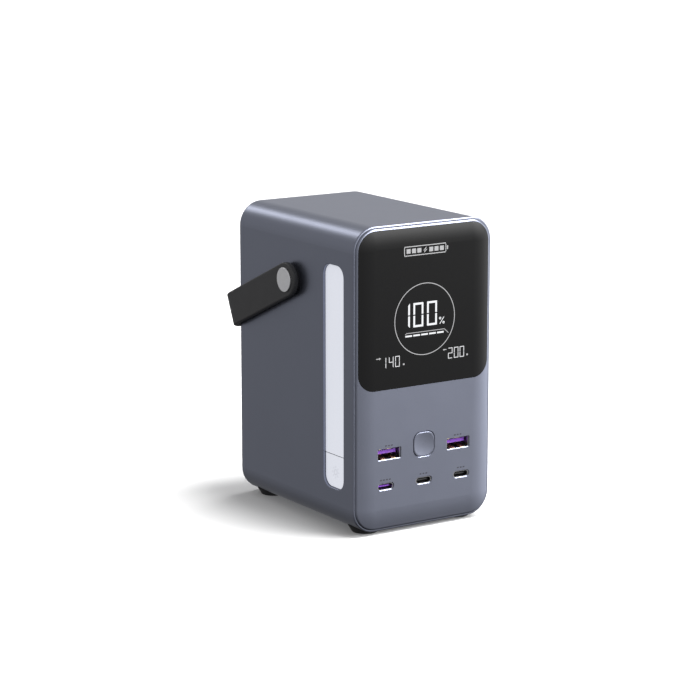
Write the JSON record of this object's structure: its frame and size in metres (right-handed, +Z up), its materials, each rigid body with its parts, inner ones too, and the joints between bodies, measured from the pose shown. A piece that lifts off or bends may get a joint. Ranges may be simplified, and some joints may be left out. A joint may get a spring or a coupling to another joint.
{
  "type": "portable power station",
  "caption": "Upright portable power station with a crowned front, glass display, output sockets, power key, side lamp strip, rubber feet and a swinging carrying strap.",
  "frame": {"origin": "bottom centre of the whole object's box at rest, with the folded strap included; the feet stand on Z = 0", "axes": "+Z up, the display and sockets face -Y, the lamp strip is on the -X side"},
  "size_m": [0.0906, 0.1164, 0.1502],
  "materials": {
    "body_plastic": "satin grey-violet coating",
    "display_glass": "black tinted gloss",
    "black_tape": "matte black",
    "lcd_glass": "gloss dark",
    "white_plastic": "matte white",
    "circuit_board": "green solder mask",
    "steel_screw": "zinc plated",
    "plated_steel": "nickel plated sheet",
    "violet_plastic": "moulded violet",
    "black_plastic": "moulded black",
    "gold_contact": "gold flash",
    "ferrite": "matte grey",
    "capacitor_can": "bright can",
    "heat_sink_aluminium": "bare extruded",
    "lamp_lens": "milky white",
    "led": "clear resin over phosphor",
    "cell_wrap": "blue heat-shrink wrap over a metal can",
    "nickel": "bright nickel strip",
    "insulator_sheet": "fibre sheet",
    "red_wire": "silicone insulation",
    "black_wire": "silicone insulation",
    "foam": "closed-cell foam",
    "foot_rubber": "matte black rubber",
    "strap_cover": "soft-touch dark strap cover",
    "spring_steel": "blued spring strip",
    "rivet_metal": "satin disc"
  },
  "bodies": {
    "station": {"main_shell": "body_plastic", "rear_cover": "body_plastic", "front_panel": "body_plastic", "display_glass": "display_glass", "glass_tape": "black_tape", "display_lcd": "lcd_glass", "display_backlight": "white_plastic", "display_board": "circuit_board", "output_board": "circuit_board", "light_board": "circuit_board", "battery_board": "circuit_board", "board_screws": "steel_screw", "foot_screws": "steel_screw", "usb_a_shell_left": "plated_steel", "usb_a_shell_right": "plated_steel", "usb_c_shell_left": "plated_steel", "usb_c_shell_middle": "plated_steel", "usb_c_shell_right": "plated_steel", "usb_a_tongue_left": "violet_plastic", "usb_a_tongue_right": "violet_plastic", "usb_c_tongue_left": "violet_plastic", "usb_c_tongue_middle": "black_plastic", "usb_c_tongue_right": "black_plastic", "usb_a_contacts": "gold_contact", "power_switch": "black_plastic", "light_switch": "black_plastic", "control_chips": "black_plastic", "battery_transistors": "black_plastic", "inductors": "ferrite", "capacitors": "capacitor_can", "heat_sink": "heat_sink_aluminium", "light_diffuser": "lamp_lens", "light_reflector": "white_plastic", "light_leds": "led", "battery_cells": "cell_wrap", "cell_holder_front": "black_plastic", "cell_holder_rear": "black_plastic", "base_tray": "black_plastic", "busbars": "nickel", "insulator_sheets": "insulator_sheet", "battery_lead_positive": "red_wire", "battery_lead_negative": "black_wire", "foam_pads": "foam", "foot_front_left": "foot_rubber", "foot_front_right": "foot_rubber", "foot_rear_left": "foot_rubber", "foot_rear_right": "foot_rubber", "handle_rivet_left": "rivet_metal", "handle_rivet_right": "rivet_metal", "handle_spacers": "black_plastic", "handle_backing_plates": "plated_steel", "handle_nuts": "steel_screw"},
    "handle": {"handle_strap": "strap_cover", "handle_core": "spring_steel", "handle_bushes": "steel_screw"},
    "power_key": {"power_button": "body_plastic", "power_switch_plunger": "white_plastic"},
    "lamp_key": {"light_button": "lamp_lens", "light_switch_plunger": "white_plastic"}
  },
  "joints": [
    {"name": "handle_swing", "type": "hinge", "parent": "station", "child": "handle", "pos_m": [0, -0.00285, 0.1186], "axis": [1, 0, 0], "range_deg": [0, 164]},
    {"name": "power_key_press", "type": "slide", "parent": "station", "child": "power_key", "axis": [0, 1, 0], "range_m": [0, 0.0005], "stiffness_N_per_m": 3000},
    {"name": "lamp_key_press", "type": "slide", "parent": "station", "child": "lamp_key", "axis": [1, 0, 0], "range_m": [0, 0.0005], "stiffness_N_per_m": 3000}
  ]
}
